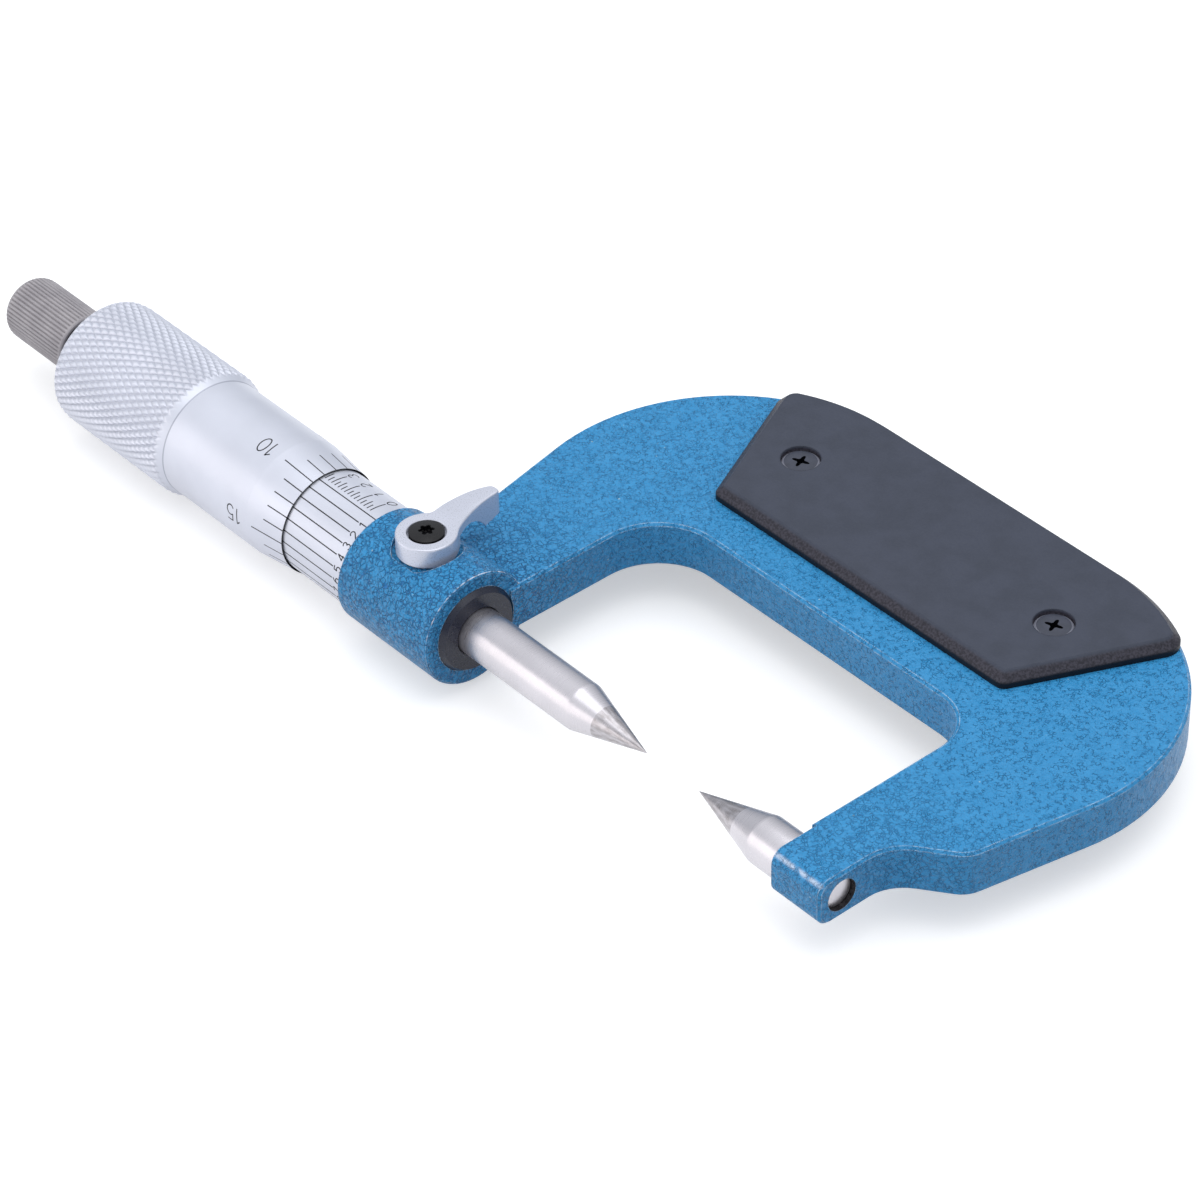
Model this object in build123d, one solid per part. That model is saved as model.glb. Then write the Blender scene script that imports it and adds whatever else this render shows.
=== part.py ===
from build123d import *
import os
from math import cos, pi, radians, sin

# Point micrometer, 0 to 1 inch.
# X runs along the measuring axis from the anvil towards the thimble, and the origin is the anvil's tip.
# Z is up when the tool lies on its back plate, and the frame's bow is towards -Y.

os.makedirs("parts", exist_ok=True)

# clearances
slip = 0.02                 # pieces that sit in one another and don't move
running = 0.03              # pieces that turn or slide in one another
shoulder_gap = 0.05         # between faces that pass or meet

# measuring line
tip_gap = 9.13              # reading 0.3595 inch
pin_r = 3.15                # anvil and spindle
cone_len = 11.25            # 30 degree included point
tip_flat_r = 0.05
scale_zero_x = 59.8         # zero line of the sleeve's scale

# frame outline, seen from above
frame_t = 6.4
edge_break = 0.35
anvil_face_x = -16.0        # machined face behind the anvil's shoulder
arm_in_x = -15.3            # inner wall of the anvil arm
arm_end_y = 3.5
face_step_y = -3.4
arm_out_x = -23.9
arm_end_round = 1.8
throat_y = -30.0
hub_wall_x = 40.1
throat_r_hub = 8.5
throat_r_anvil = 6.5
bow_y = -60.9
bow_r = 27.0
mid_x = 12.05               # the bow is the same on both sides of this line
neck_x = -31.3
neck_y = -12.6
neck_top_y = -7.25
neck_in_r = 6.0
neck_out_r = 4.0
side_lean = 0.203           # how far the arm's outer wall leans out per mm
stem_r = 2.08
stem_sink = 0.7             # the stem's end stands this far inside the arm's outer face

# hub and black ring
hub_r = 7.8
hub_len = 17.2
hub_front = 0.3             # the hub stands back from the throat's wall
hub_edge = 0.35
ring_r = 5.75
ring_proud = 0.7            # the ring's face stands this far out of the hub
ring_bevel = 0.5
ring_len = 4.3

# sleeves, screw and nut
inner_r = 5.3
guide_len = 18.0
relief_gap = 0.3            # behind the guide the sleeve is wider than the shank
nut_seat_x = 87.0           # the inner sleeve's slit end starts here
nut_len = 8.0
nut_seat_r = 4.55
nut_taper = 0.2
slit_w = 0.5
slit_count = 3
slit_len = 10.0
adjust_back = 2.0
adjust_len = 5.0
adjust_r = 6.2
notch_w = 1.0
notch_depth = 0.8
sleeve_wall = 1.75
sleeve_back = 3.0           # the graduated sleeve ends this far past the nut's seat
spanner_hole_r = 0.6
spanner_hole_back = 5.4
shank_end_x = 65.0
thread_back = 1.5           # the thread stops this far in front of the clamping cone
screw_r = 2.95
groove_depth = 0.35

# thimble
thimble_edge_wall = 0.16
bevel_len = 6.45
barrel_r = 8.12
grip_start_x = 92.4
grip_lead = 1.5
grip_len = 23.2
grip_r = 8.85
grip_end_round = 0.9
end_wall = 5.2
end_sink = 1.4              # the clamping cone stands this far inside the thimble's end
cone_r_front = 4.3
cone_r_back = 3.9
cone_bore_r = 2.4
cone_slit_w = 0.5

# ratchet stop
seat_t = 2.2
seat_r = 3.25
tooth_count = 12
tooth_h = 0.5
pawl_t = 2.7
pawl_r = 3.25
knob_r = 4.42
knob_gap = 0.8              # between the grip's end and the knob
knob_len = 16.8
knob_bore_r = 3.6
knob_wall = 1.2
knob_end_round = 1.6
bolt_r = 1.25
bolt_bite = 9.0
bolt_head_r = 2.5
bolt_head_t = 1.6
bolt_head_back = 3.4        # from the bolt's head to the knob's end
bolt_slot_w = 0.6
washer_t = 0.4
washer_r = 2.9
spring_r = 2.3
spring_wire = 0.45
spring_turns = 5

# lock lever
lever_r = 3.86
lever_t = 2.7
lever_edge = 0.25
pocket_gap = 0.54           # pocket round the lever's disc
pocket_depth = 1.05
lever_lift = 0.35           # room for the spring washer
blade_root_t = 1.35         # the blade is thin over the hub
heel_drop = 1.3             # and its foot hangs this far below the disc
toe_rise = 0.7              # the foot's sole rises towards the tip
arch_start_share = 0.42     # of the blade's length, where the arch under it begins
arch_mid_share = 0.63
arch_mid_drop = 0.85
heel_share = 0.775
lever_back = 8.55           # from the lever's screw to the hub's back end
blade_len = 11.9
root_sink = 0.2             # the blade's sides start this far inside the disc's edge
root_turn_in = 50           # degrees from the blade's line, on the anvil's side
root_turn_out = 43          # and on the thimble's side
blade_mid_w = 3.73
blade_mid_bend = 1.21       # the blade's middle lies this far towards the thimble
blade_in_share = 0.538      # of its length, where the anvil's side is hollowest
blade_out_share = 0.605     # and where the thimble's side is fullest
blade_tip_w = 1.55
blade_tip_bend = 1.12
blade_tip_round = 0.6
lever_root_r = 1.2
lock_head_r = 2.22
lock_head_up = 0.35
lock_head_sink = 0.65
lock_dome_r = 9.0
star_r = 0.9
star_depth = 0.85
lock_shank_r = 1.0
stud_r = 2.0
stud_up = 1.2
plug_r = 1.5

# grip plates
plate_t = 2.0
plate_bevel = 1.2
plate_in_y = -35.7
plate_in_half = 25.05       # half the length of the plate's inner edge
plate_lean = 0.47           # how far the plate's ends lean out per mm
plate_corner_r = 1.4
plate_outer_r = 2.6         # corners on the bow's outer edge
plate_screw_y = -47.5
plate_screw_dx = 22.0
recess_r = 2.56
recess_depth = 0.75
plate_head_r = 2.2
plate_head_t = 0.7
plate_shank_r = 1.05
plate_hole_gap = 0.15
screw_bite = 2.6
cross_w = 0.55
cross_r = 1.25

# places that follow from the sizes
half_t = frame_t / 2
hub_x0 = hub_wall_x + hub_front
hub_x1 = hub_x0 + hub_len
lever_x = hub_x1 - lever_back
ring_x0 = hub_x0 - ring_proud
ring_x1 = ring_x0 + ring_len
hub_bore_r = inner_r + slip
guide_r = pin_r + running
ring_hole_r = guide_r + shoulder_gap
inner_x0 = ring_x1 + slip
guide_x1 = inner_x0 + guide_len
relief_r = pin_r + relief_gap
inner_x1 = nut_seat_x + nut_len
nut_bore_r = screw_r + shoulder_gap
adjust_x0 = nut_seat_x + adjust_back
adjust_x1 = adjust_x0 + adjust_len
sleeve_bore_r = inner_r + shoulder_gap
sleeve_r = sleeve_bore_r + sleeve_wall
sleeve_x1 = nut_seat_x + sleeve_back
screw_x0 = shank_end_x + 1
thimble_bore_r = sleeve_r + 0.08
thimble_edge_r = thimble_bore_r + thimble_edge_wall
thimble_edge_x = scale_zero_x + tip_gap
bevel_x1 = thimble_edge_x + bevel_len
grip_x1 = grip_start_x + grip_len
cone_x1 = grip_x1 - end_sink
cone_x0 = cone_x1 - end_wall
screw_x1 = cone_x0 - thread_back
tail_x = cone_x1 - 0.6
bolt_x0 = tail_x - bolt_bite
seat_x0 = cone_x1 + shoulder_gap
seat_x1 = seat_x0 + seat_t
pawl_x0 = seat_x1 + 2 * tooth_h + shoulder_gap
pawl_x1 = pawl_x0 + pawl_t
knob_x0 = grip_x1 + knob_gap
knob_x1 = knob_x0 + knob_len
bolt_head_x0 = knob_x1 - bolt_head_back - bolt_head_t
bolt_head_x1 = bolt_head_x0 + bolt_head_t
washer_x1 = bolt_head_x0 - slip
washer_x0 = washer_x1 - washer_t
pocket_r = lever_r + pocket_gap
pocket_z = hub_r - pocket_depth
lever_z0 = pocket_z + lever_lift
lever_z1 = lever_z0 + lever_t
arch_z = lever_z1 - blade_root_t
heel_z = lever_z0 - heel_drop
sink_z = lever_z1 - lock_head_sink
lock_head_z = lever_z1 + lock_head_up
stud_z0 = inner_r + 0.45
stud_z1 = lever_z0 + stud_up
plug_z1 = stud_z0 - shoulder_gap
plate_z = half_t + plate_t
head_z = plate_z - recess_depth


def turned(points):
    # solid of revolution about X from (x, radius) points
    return revolve(Polygon(*points, align=None), Axis.X, 360)


def rod(x0, x1, r):
    return Pos((x0 + x1) / 2, 0, 0) * Rot(0, 90, 0) * Cylinder(r, x1 - x0)


def post(x, y, z0, z1, r):
    return Pos(x, y, (z0 + z1) / 2) * Cylinder(r, z1 - z0)


def tube(x0, x1, r_out, r_in):
    return turned([(x0, r_in), (x0, r_out), (x1, r_out), (x1, r_in)])


def round_at(sketch, x, y, r):
    corner = sketch.vertices().sort_by_distance((x, y, 0))[0]
    return fillet(corner, r)


def flip_x(x):
    return 2 * mid_x - x


def save(shape, name):
    export_step(shape, "parts/" + name + ".step")


# frame: outline seen from above, its corners rounded one by one
hub_join_y = -0.7 * hub_r
low_x = neck_x + side_lean * (bow_y - neck_y)
high_x = flip_x(neck_x + side_lean * (hub_join_y - neck_y))
outer = Polygon((arm_out_x, arm_end_y), (arm_out_x, neck_top_y), (neck_x, neck_y), (low_x, bow_y),
                (flip_x(low_x), bow_y), (high_x, hub_join_y), (hub_wall_x, hub_join_y),
                (hub_wall_x, arm_end_y), align=None)
for x, y, r in ((arm_out_x, neck_top_y, neck_in_r), (neck_x, neck_y, neck_out_r),
                (low_x, bow_y, bow_r), (flip_x(low_x), bow_y, bow_r)):
    outer = round_at(outer, x, y, r)
throat = Polygon((anvil_face_x, arm_end_y + 1), (anvil_face_x, face_step_y), (arm_in_x, face_step_y),
                 (arm_in_x, throat_y), (hub_wall_x, throat_y), (hub_wall_x, arm_end_y + 1), align=None)
throat = round_at(throat, arm_in_x, throat_y, throat_r_anvil)
throat = round_at(throat, hub_wall_x, throat_y, throat_r_hub)
bow = extrude(outer - throat, half_t, both=True)
end_edges = bow.edges().filter_by(Axis.X).filter_by(lambda e: e.center().Y > arm_end_y - 0.01)
bow = fillet(end_edges, arm_end_round)
rim_edges = bow.edges().filter_by(lambda e: abs(abs(e.center().Z) - half_t) < 0.001
                                  and e.center().Y < hub_join_y - 0.1)
bow = chamfer(rim_edges, edge_break)
edge_mid = hub_edge * 0.35
hub = turned([(hub_x0, 0), (hub_x0, hub_r - hub_edge), (hub_x0 + edge_mid, hub_r - edge_mid),
              (hub_x0 + hub_edge, hub_r), (hub_x1 - hub_edge, hub_r), (hub_x1, hub_r - hub_edge),
              (hub_x1, 0)])
frame = bow + hub
frame -= rod(hub_x0 - 1, ring_x1, ring_r + slip) + rod(ring_x1 - 0.5, hub_x1 + 1, hub_bore_r)
frame -= post(lever_x, 0, pocket_z, hub_r + 2, pocket_r)
frame -= post(lever_x, 0, stud_z0 - running, hub_r, stud_r + running)
frame -= post(lever_x, 0, hub_bore_r - 1, stud_z0, plug_r + slip)
frame -= rod(arm_out_x - 5, anvil_face_x + 2, stem_r + slip)
screw_spots = [(mid_x - plate_screw_dx, plate_screw_y), (mid_x + plate_screw_dx, plate_screw_y)]
for x, y in screw_spots:
    for side in (-1, 1):
        z0, z1 = sorted((side * (half_t - screw_bite - slip), side * (half_t + 1)))
        frame -= post(x, y, z0, z1, plate_shank_r + slip)
save(frame, "frame")

# anvil: cone, shoulder and a stem pressed into the arm
shoulder_x = anvil_face_x + slip
stem_x = arm_out_x + stem_sink
anvil = turned([(0, 0), (0, tip_flat_r), (-cone_len, pin_r), (shoulder_x, pin_r), (shoulder_x, stem_r),
                (stem_x + 0.2, stem_r), (stem_x, stem_r - 0.2), (stem_x, 0)])
save(anvil, "anvil")

# spindle: cone, ground shank, thread core, and a tapped tail that holds the thimble
tapped_r = bolt_r + slip
tail_r = cone_bore_r - slip
spindle = turned([(tip_gap, 0), (tip_gap, tip_flat_r), (tip_gap + cone_len, pin_r), (shank_end_x, pin_r),
                  (shank_end_x + 0.4, screw_r - groove_depth), (screw_x0, screw_r - groove_depth),
                  (screw_x0 + 0.4, screw_r), (screw_x1, screw_r), (screw_x1 + 0.6, tail_r), (tail_x, tail_r),
                  (tail_x, tapped_r), (bolt_x0 - 0.5, tapped_r), (bolt_x0 - 1.2, 0)])
save(spindle, "spindle")

# black ring in the hub's mouth, bevelled where it stands out
front_bush = turned([(ring_x0, ring_hole_r + 0.1), (ring_x0, ring_r - ring_bevel), (hub_x0, ring_r),
                     (ring_x1, ring_r), (ring_x1, ring_hole_r), (ring_x0 + 0.1, ring_hole_r)])
save(front_bush, "front_bush")

# inner sleeve: guide bore in front, slit and coned nut behind, window for the lock plug
inner_sleeve = turned([(inner_x0, guide_r), (inner_x0, inner_r), (nut_seat_x, inner_r),
                       (nut_seat_x, nut_seat_r), (inner_x1 - 3, nut_seat_r),
                       (inner_x1, nut_seat_r - nut_taper), (inner_x1, nut_bore_r),
                       (inner_x1 - slit_len, nut_bore_r), (inner_x1 - slit_len - 1, relief_r),
                       (guide_x1, relief_r), (guide_x1 - 0.5, guide_r)])
for k in range(slit_count):
    slit_x = inner_x1 - slit_len / 2 + 0.5
    slit = Pos(slit_x, 0, inner_r) * Box(slit_len + 1, slit_w, 2 * (inner_r - 1))
    inner_sleeve -= Rot(360 / slit_count * k + 60, 0, 0) * slit
inner_sleeve -= post(lever_x, 0, 0, inner_r + 1, plug_r + slip)
save(inner_sleeve, "inner_sleeve")

# adjusting nut on the slit end, with four spanner notches
nut_hole_r = nut_seat_r + slip
adjusting_nut = turned([(adjust_x0, nut_hole_r), (adjust_x0, adjust_r - 0.4), (adjust_x0 + 0.4, adjust_r),
                        (adjust_x1 - 0.4, adjust_r), (adjust_x1, adjust_r - 0.4), (adjust_x1, nut_hole_r)])
for k in range(4):
    adjusting_nut -= Rot(90 * k, 0, 0) * Pos(adjust_x1, 0, adjust_r) * Box(3.6, notch_w, 2 * notch_depth)
save(adjusting_nut, "adjusting_nut")

# graduated sleeve over the inner one, with a spanner hole at the back for the zero setting
outer_sleeve = tube(hub_x1 + shoulder_gap, sleeve_x1, sleeve_r, sleeve_bore_r)
spanner_hole = post(hub_x1 + spanner_hole_back, 0, inner_r - 1, sleeve_r + 1, spanner_hole_r)
outer_sleeve -= Rot(200, 0, 0) * spanner_hole
outer_sleeve -= rod(adjust_x0 - 0.3, sleeve_x1 + 1, adjust_r + 0.2)
save(outer_sleeve, "outer_sleeve")

# thimble: bevelled edge, barrel, raised grip, and an end wall that seats on the clamping cone
cone_gap_front = cone_r_front + slip
cone_gap_back = cone_r_back + slip
thimble = turned([(thimble_edge_x, thimble_bore_r), (thimble_edge_x, thimble_edge_r), (bevel_x1, barrel_r),
                  (grip_start_x, barrel_r), (grip_start_x + grip_lead, grip_r),
                  (grip_x1 - grip_end_round, grip_r),
                  (grip_x1 - grip_end_round * 0.3, grip_r - grip_end_round * 0.3),
                  (grip_x1, grip_r - grip_end_round), (grip_x1, knob_r + 0.8), (cone_x1, knob_r + 0.5),
                  (cone_x1, cone_gap_back), (cone_x0, cone_gap_front), (cone_x0, thimble_bore_r - 1),
                  (cone_x0 - 1, thimble_bore_r)])
save(thimble, "thimble")

# split cone that clamps the thimble on the spindle's tail
thimble_cone = turned([(cone_x0, cone_bore_r), (cone_x0, cone_r_front), (cone_x1, cone_r_back),
                       (cone_x1, cone_bore_r)])
cone_slit = Box(end_wall + 2, cone_slit_w, 2 * cone_r_front)
thimble_cone -= Pos((cone_x0 + cone_x1) / 2, 0, cone_r_front) * cone_slit
save(thimble_cone, "thimble_cone")


# face teeth: one steep and one sloping side each, wider towards the rim
def face_teeth(x, r_in, r_out):
    ends = []
    for r in (r_in, r_out):
        width = 0.9 * 2 * pi * r / tooth_count
        side = Polygon((-slip, 0), (tooth_h, 0), (-slip, width), align=None)
        ends.append(Plane.XY.offset(r) * side)
    tooth = Pos(x, 0, 0) * loft(ends, ruled=True)
    teeth = tooth
    for k in range(1, tooth_count):
        teeth += Rot(360 / tooth_count * k, 0, 0) * tooth
    return teeth


# ratchet stop, with the teeth tip to tip: a seat on the spindle, a sprung ring, and the knob round it
tooth_in_r = bolt_r + 0.5
tooth_out_r = seat_r - 0.5
ratchet_seat = tube(seat_x0, seat_x1, seat_r, bolt_r + slip)
ratchet_seat += face_teeth(seat_x1, tooth_in_r, tooth_out_r)
save(ratchet_seat, "ratchet_seat")
ratchet_pawl = tube(pawl_x0, pawl_x1, pawl_r, tooth_in_r)
ratchet_pawl += mirror(face_teeth(-pawl_x0, tooth_in_r, tooth_out_r), Plane.YZ)
save(ratchet_pawl, "ratchet_pawl")
ratchet_screw = turned([(bolt_x0, 0), (bolt_x0, bolt_r), (bolt_head_x0, bolt_r),
                        (bolt_head_x0, bolt_head_r), (bolt_head_x1 - 0.3, bolt_head_r),
                        (bolt_head_x1, bolt_head_r - 0.3), (bolt_head_x1, 0)])
ratchet_screw -= Pos(bolt_head_x1, 0, 0) * Box(bolt_head_t, bolt_slot_w, 3 * bolt_head_r)
save(ratchet_screw, "ratchet_screw")
ratchet_washer = tube(washer_x0, washer_x1, washer_r, bolt_r + slip)
save(ratchet_washer, "ratchet_washer")
spring_x0 = pawl_x1 + spring_wire / 2 + slip
spring_len = washer_x0 - spring_wire / 2 - slip - spring_x0
spring_path = Helix(spring_len / spring_turns, spring_len, spring_r)
wire_plane = Plane(origin=spring_path @ 0, x_dir=(1, 0, 0), z_dir=spring_path % 0)
spring_coil = sweep(wire_plane * Rectangle(spring_wire, spring_wire), path=spring_path, is_frenet=True)
ratchet_spring = Pos(spring_x0, 0, 0) * Rot(0, 90, 0) * spring_coil
save(ratchet_spring, "ratchet_spring")
knob_inner_r = pawl_r + slip
ratchet_knob = turned([(knob_x0, seat_r + 0.15), (knob_x0, knob_r - 0.15), (knob_x0 + 0.15, knob_r),
                       (knob_x1 - knob_end_round, knob_r),
                       (knob_x1 - knob_end_round * 0.3, knob_r - knob_end_round * 0.3),
                       (knob_x1, knob_r - knob_end_round), (knob_x1, 0),
                       (knob_x1 - knob_wall, 0), (knob_x1 - knob_wall, knob_bore_r),
                       (pawl_x1 + 1, knob_bore_r), (pawl_x1, knob_inner_r),
                       (pawl_x0, knob_inner_r), (pawl_x0 - 0.1, seat_r + 0.15)])
save(ratchet_knob, "ratchet_knob")

# lever's outline: a disc and a blade that bends towards the thimble and narrows to its tip
root_r = lever_r - root_sink
root_in = (-root_r * sin(radians(root_turn_in)), -root_r * cos(radians(root_turn_in)))
root_out = (root_r * sin(radians(root_turn_out)), -root_r * cos(radians(root_turn_out)))
mid_in = (blade_mid_bend - blade_mid_w / 2, -blade_in_share * blade_len)
mid_out = (blade_mid_bend + blade_mid_w / 2, -blade_out_share * blade_len)
tip_in = (blade_tip_bend - blade_tip_w / 2, -blade_len)
tip_out = (blade_tip_bend + blade_tip_w / 2, -blade_len)
blade = make_face(Curve() + [
    Line((0, 0), root_in), ThreePointArc(root_in, mid_in, tip_in),
    Line(tip_in, tip_out),
    ThreePointArc(tip_out, mid_out, root_out), Line(root_out, (0, 0))])
lever_shape = Circle(lever_r) + blade
lever_shape = fillet(lever_shape.vertices().sort_by(Axis.Y)[:2], blade_tip_round)
roots = lever_shape.vertices().filter_by(lambda v: v.Y > -blade_len / 2)
lever_shape = fillet(roots, lever_root_r)

# lever: flat on top, with an arch under the blade that clears the hub and leaves a foot at the tip
lever_top = extrude(Pos(lever_x, 0, heel_z) * lever_shape, lever_z1 - heel_z)
lever_top = chamfer(lever_top.faces().sort_by(Axis.Z)[-1].edges(), lever_edge)
arch_start = (-arch_start_share * blade_len, arch_z)
arch_mid = (-arch_mid_share * blade_len, arch_z - arch_mid_drop)
heel = (-heel_share * blade_len, heel_z)
toe = (-blade_len, heel_z + toe_rise)
under_z = heel_z - 1
under = make_face(Curve() + [
    Line((0, under_z), (0, arch_z)), Line((0, arch_z), arch_start),
    ThreePointArc(arch_start, arch_mid, heel), Line(heel, toe),
    Line(toe, (toe[0], under_z)), Line((toe[0], under_z), (0, under_z))])
lever_under = Pos(lever_x, 0, 0) * extrude(Plane.YZ * under, blade_len, both=True)
lever_under -= post(lever_x, 0, lever_z0, lever_z1, lever_r)
lock_lever = lever_top - (lever_under + post(lever_x, 0, under_z, lever_z0, lever_r + 0.1))
lock_lever -= post(lever_x, 0, sink_z, lever_z1 + 1, lock_head_r + 0.2)
lock_lever -= post(lever_x, 0, lever_z0 - 1, stud_z1 + slip, stud_r + slip)
lock_lever -= post(lever_x, 0, lever_z0, lever_z1, lock_shank_r + 0.1)
save(lock_lever, "lock_lever")

# stud, screw, spring washer and plug under the lever
lock_stud = post(lever_x, 0, stud_z0, stud_z1, stud_r)
lock_stud -= post(lever_x, 0, stud_z0 + 0.5, stud_z1 + 1, lock_shank_r + slip)
save(lock_stud, "lock_stud")
lock_head = post(lever_x, 0, sink_z + slip, lock_head_z, lock_head_r)
lock_head &= Pos(lever_x, 0, lock_head_z - lock_dome_r) * Sphere(lock_dome_r)
star = Circle(star_r * 0.8)
for k in range(6):
    star += Rot(0, 0, 60 * k) * Pos(star_r * 0.82, 0) * Circle(star_r * 0.3)
lock_screw = lock_head + post(lever_x, 0, stud_z0 + 0.6, sink_z + 0.1, lock_shank_r)
lock_screw -= Pos(lever_x, 0, lock_head_z - star_depth) * extrude(star, 2)
save(lock_screw, "lock_screw")
lock_washer = post(lever_x, 0, pocket_z + slip, lever_z0 - slip, lever_r - 0.4)
lock_washer -= post(lever_x, 0, pocket_z - 1, lever_z0 + 1, stud_r + 0.2)
save(lock_washer, "lock_washer")
lock_plug = post(lever_x, 0, 0, plug_z1, plug_r) - rod(lever_x - 3, lever_x + 3, pin_r + running)
lock_plug = lock_plug.solids().sort_by(Axis.Z)[-1]
save(lock_plug, "lock_plug")

# grip plates, one on each side, cut to the bow's outline and bevelled
run = plate_in_y - bow_y + 5
plate_ends = (mid_x - plate_in_half, mid_x + plate_in_half)
plate_shape = Polygon((plate_ends[0], plate_in_y), (plate_ends[0] - plate_lean * run, plate_in_y - run),
                      (plate_ends[1] + plate_lean * run, plate_in_y - run), (plate_ends[1], plate_in_y),
                      align=None) & outer
for x in plate_ends:
    plate_shape = round_at(plate_shape, x, plate_in_y, plate_corner_r)
ends = plate_shape.vertices().sort_by(Axis.X)
for v in (ends[0], ends[-1]):
    plate_shape = round_at(plate_shape, v.X, v.Y, plate_outer_r)
plate = Pos(0, 0, half_t) * extrude(plate_shape, plate_t)
plate = chamfer(plate.faces().sort_by(Axis.Z)[-1].edges(), plate_bevel)
for x, y in screw_spots:
    plate -= post(x, y, head_z, plate_z + 1, recess_r)
    plate -= post(x, y, half_t - 1, plate_z, plate_shank_r + plate_hole_gap)
save(plate, "front_plate")
save(Rot(180, 0, 0) * mirror(plate, Plane.XZ), "back_plate")


def plate_screw(x, y):
    head = post(x, y, head_z, head_z + plate_head_t, plate_head_r)
    head = chamfer(head.faces().sort_by(Axis.Z)[-1].edges(), 0.25)
    cross = Box(2 * cross_r, cross_w, 1) + Box(cross_w, 2 * cross_r, 1)
    head -= Pos(x, y, head_z + plate_head_t) * Rot(0, 0, 20) * cross
    return head + post(x, y, half_t - screw_bite, head_z, plate_shank_r)


front_screws = [plate_screw(x, y) for x, y in screw_spots]
save(Compound(children=front_screws), "front_plate_screws")
save(Compound(children=[Rot(180, 0, 0) * mirror(s, Plane.XZ) for s in front_screws]), "back_plate_screws")
print("nodes written:", len(os.listdir("parts")))
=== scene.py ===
import bpy
import bmesh
import numpy as np
from math import radians
from mathutils import Euler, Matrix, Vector


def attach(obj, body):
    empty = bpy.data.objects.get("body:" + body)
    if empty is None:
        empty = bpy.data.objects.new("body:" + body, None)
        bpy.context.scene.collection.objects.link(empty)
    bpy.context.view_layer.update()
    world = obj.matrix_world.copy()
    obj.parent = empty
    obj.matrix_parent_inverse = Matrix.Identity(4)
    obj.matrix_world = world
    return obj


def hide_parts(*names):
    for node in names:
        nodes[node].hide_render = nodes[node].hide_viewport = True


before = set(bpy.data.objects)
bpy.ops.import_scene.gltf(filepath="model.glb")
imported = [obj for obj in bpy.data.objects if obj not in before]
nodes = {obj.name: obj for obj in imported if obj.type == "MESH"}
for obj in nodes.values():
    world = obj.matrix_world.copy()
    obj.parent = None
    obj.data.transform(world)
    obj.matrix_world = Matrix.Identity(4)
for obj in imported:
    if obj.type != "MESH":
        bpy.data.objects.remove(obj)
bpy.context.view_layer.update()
print("frame loaded:", len(nodes), "nodes")

mm = 0.001

# sizes that the new pieces share with the CAD, in mm
axis = {
    "tipGap": 9.13, "pinR": 3.15, "hubX0": 40.4, "hubX1": 57.6, "hubR": 7.8,
    "sleeveR": 7.1, "zeroX": 59.8, "edgeX": 68.93, "edgeR": 7.34, "bevelX1": 75.38,
    "barrelR": 8.12, "gripX0": 92.4, "gripLead": 1.5, "gripX1": 115.6, "gripR": 8.85,
    "knobX0": 116.4, "knobX1": 133.2, "knobR": 4.42,
}


def srgb(r, g, b):
    # 0-255 screen colour to linear
    c = np.array([r, g, b]) / 255
    return tuple(np.where(c <= 0.04045, c / 12.92, ((c + 0.055) / 1.055) ** 2.4)) + (1.0,)


meshFinish = {"mergeWithin": 2e-7, "sharpAngle": 38}  # in metres and degrees


def addMesh(name, points, faces, smooth=True, merge=True):
    # points in mm, faces as quads; merging closes the seams and the poles
    mesh = bpy.data.meshes.new(name)
    mesh.from_pydata((np.asarray(points) * mm).tolist(), [], np.asarray(faces).tolist())
    if merge:
        bm = bmesh.new()
        bm.from_mesh(mesh)
        bmesh.ops.remove_doubles(bm, verts=bm.verts, dist=meshFinish["mergeWithin"])
        bmesh.ops.recalc_face_normals(bm, faces=bm.faces)
        bm.to_mesh(mesh)
        bm.free()
    mesh.validate()
    if smooth:
        mesh.shade_smooth()
        mesh.set_sharp_from_angle(angle=radians(meshFinish["sharpAngle"]))
    piece = bpy.data.objects.new(name, mesh)
    bpy.context.collection.objects.link(piece)
    return piece


def gridFaces(rows, cols, wrapRows=False, wrapCols=False, offset=0):
    # quads of a grid of rows by cols points, numbered row by row
    i = np.arange(rows if wrapRows else rows - 1)[:, None]
    j = np.arange(cols if wrapCols else cols - 1)[None, :]
    i1, j1 = (i + 1) % rows, (j + 1) % cols
    quads = np.stack([i * cols + j, i * cols + j1, i1 * cols + j1, i1 * cols + j], -1)
    return quads.reshape(-1, 4) + offset


def softPath(corners, steps=6):
    # polyline of (x, r, round): each corner gives way to a quadratic curve between the points round away from it
    pts = np.array([c[:2] for c in corners], float)
    out = []
    for k, p in enumerate(pts):
        size = corners[k][2] if len(corners[k]) > 2 else 0
        if size == 0 or k in (0, len(pts) - 1):
            out.append(p[None])
            continue
        a, b = pts[k - 1] - p, pts[k + 1] - p
        a, b = a / np.linalg.norm(a) * size, b / np.linalg.norm(b) * size
        t = np.linspace(0, 1, steps)[:, None]
        out.append((1 - t) ** 2 * (p + a) + 2 * t * (1 - t) * p + t ** 2 * (p + b))
    return np.concatenate(out)


def turnedPiece(name, path, cols=128, closed=False, relief=None):
    # x, r along the path and an angle round X: y = r cos(angle), z = r sin(angle)
    angle = np.linspace(0, 2 * np.pi, cols, endpoint=False)[None, :]
    x = np.repeat(path[:, :1], cols, 1)
    r = np.repeat(path[:, 1:2], cols, 1)
    if relief is not None:
        x, r = relief(x, r, angle)
    points = np.stack([x, r * np.cos(angle), r * np.sin(angle)], -1).reshape(-1, 3)
    return addMesh(name, points, gridFaces(len(path), cols, wrapRows=closed, wrapCols=True))


# helpers for the materials
def newMaterial(name):
    material = bpy.data.materials.new(name)
    material.use_nodes = True
    tree = material.node_tree
    return material, tree, tree.nodes["Principled BSDF"]


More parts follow.
